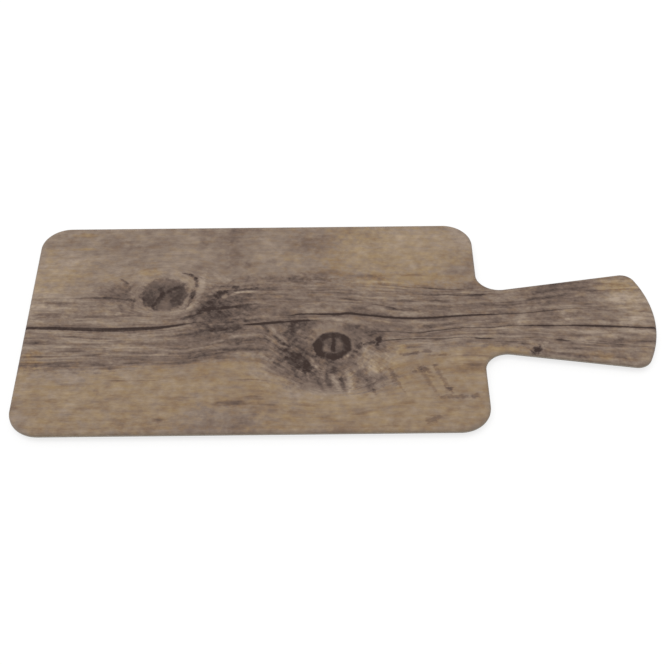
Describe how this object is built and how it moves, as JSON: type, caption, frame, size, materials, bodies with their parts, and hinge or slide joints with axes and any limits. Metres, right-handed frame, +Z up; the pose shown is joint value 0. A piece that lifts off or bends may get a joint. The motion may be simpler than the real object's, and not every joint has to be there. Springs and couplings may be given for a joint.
{
  "type": "melamine serving board",
  "caption": "Thin rectangular serving board with rounded corners and a flared paddle handle, wood-print top, moulded foot rim and anti-slip feet; for serving food at the table.",
  "frame": {"origin": "on the table, under the middle of the board's overall length and width", "axes": "+X along the board towards the handle's tip, +Z up out of the serving face"},
  "size_m": [0.415, 0.19, 0.0095],
  "materials": {
    "melamine": "satin moulded melamine",
    "wood_print": "satin printed weathered wood grain",
    "silicone": "matt silicone"
  },
  "bodies": {
    "root": {"melamine_core": "melamine", "decor_foil": "wood_print", "foot_front_left": "silicone", "foot_front_right": "silicone", "foot_rear_left": "silicone", "foot_rear_right": "silicone"}
  },
  "joints": []
}
